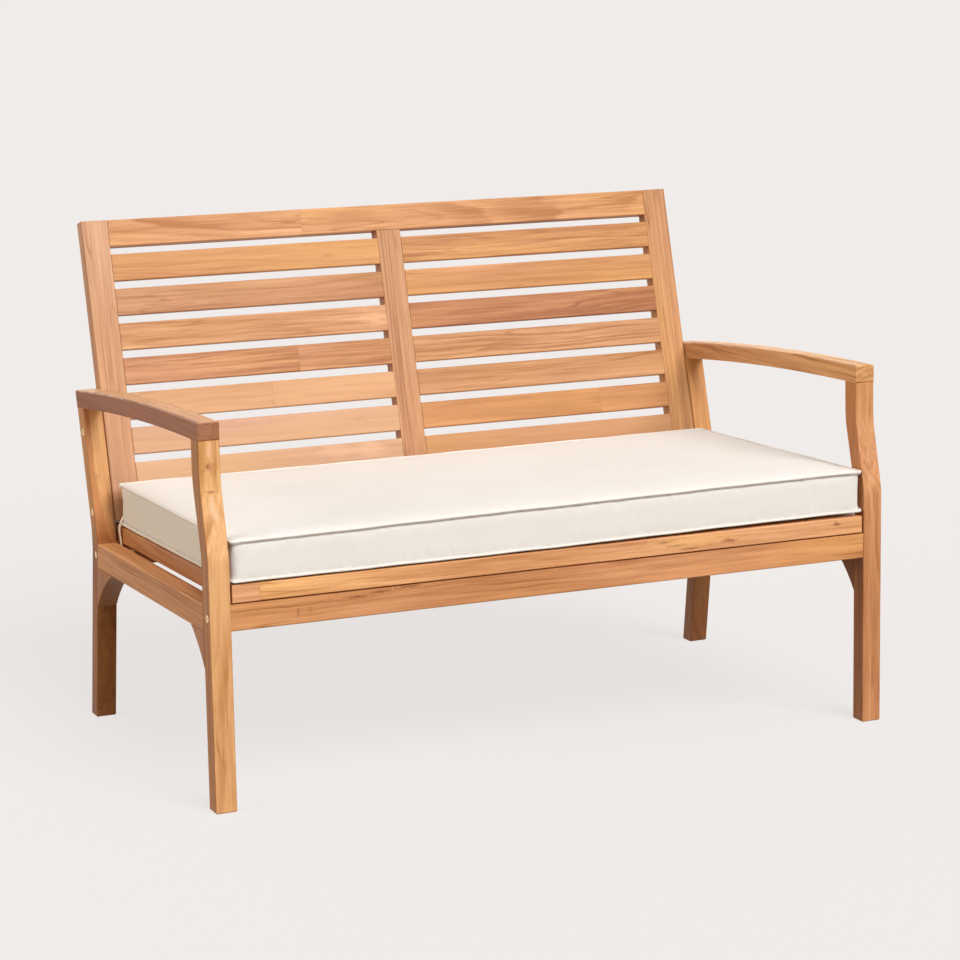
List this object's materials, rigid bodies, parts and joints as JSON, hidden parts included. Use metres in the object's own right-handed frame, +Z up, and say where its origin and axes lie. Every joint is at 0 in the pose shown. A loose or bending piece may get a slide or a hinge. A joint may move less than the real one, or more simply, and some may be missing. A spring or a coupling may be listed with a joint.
{
  "type": "patio loveseat",
  "caption": "Slatted garden bench seat for two with a raked slatted back, bowed arms, bent legs and a loose piped cushion.",
  "frame": {"origin": "on the floor, under the middle of the bench's overall length and depth", "axes": "+X along the bench to the sitter's left, +Y to the rear, +Z up"},
  "size_m": [1.2, 0.747, 0.846],
  "materials": {
    "frame_timber": "satin",
    "dowel_timber": "matte",
    "cushion_fabric": "matte",
    "piping_fabric": "matte",
    "tie_fabric": "matte",
    "bolt_brass": "satin",
    "nut_brass": "satin",
    "screw_steel": "satin"
  },
  "bodies": {
    "bench": {"arm_left": "frame_timber", "arm_right": "frame_timber", "back_bottom_rail": "frame_timber", "back_centre_stile": "frame_timber", "back_slat_left_1": "frame_timber", "back_slat_left_2": "frame_timber", "back_slat_left_3": "frame_timber", "back_slat_left_4": "frame_timber", "back_slat_left_5": "frame_timber", "back_slat_left_6": "frame_timber", "back_slat_left_7": "frame_timber", "back_slat_right_1": "frame_timber", "back_slat_right_2": "frame_timber", "back_slat_right_3": "frame_timber", "back_slat_right_4": "frame_timber", "back_slat_right_5": "frame_timber", "back_slat_right_6": "frame_timber", "back_slat_right_7": "frame_timber", "back_stile_left": "frame_timber", "back_stile_right": "frame_timber", "back_top_rail": "frame_timber", "barrel_nuts": "nut_brass", "frame_bolts": "bolt_brass", "frame_dowels": "dowel_timber", "front_apron": "frame_timber", "front_gusset_left": "frame_timber", "front_gusset_right": "frame_timber", "front_leg_left": "frame_timber", "front_leg_right": "frame_timber", "rear_apron": "frame_timber", "rear_gusset_left": "frame_timber", "rear_gusset_right": "frame_timber", "rear_leg_left": "frame_timber", "rear_leg_right": "frame_timber", "seat_back_rail": "frame_timber", "seat_centre_rail": "frame_timber", "seat_front_rail": "frame_timber", "seat_screws": "screw_steel", "seat_side_rail_left": "frame_timber", "seat_side_rail_right": "frame_timber", "seat_slat_1": "frame_timber", "seat_slat_2": "frame_timber", "seat_slat_3": "frame_timber", "seat_slat_4": "frame_timber", "seat_slat_5": "frame_timber", "seat_slat_6": "frame_timber", "seat_slat_7": "frame_timber", "seat_slat_8": "frame_timber", "side_rail_left": "frame_timber", "side_rail_right": "frame_timber"},
    "cushion": {"seat_cushion": "cushion_fabric", "cushion_piping_lower": "piping_fabric", "cushion_piping_upper": "piping_fabric", "cushion_tie_left": "tie_fabric", "cushion_tie_right": "tie_fabric"}
  },
  "joints": [
    {"name": "cushion_lift", "type": "slide", "parent": "bench", "child": "cushion", "axis": [0, 0, 1], "range_m": [0, 0.18]}
  ]
}
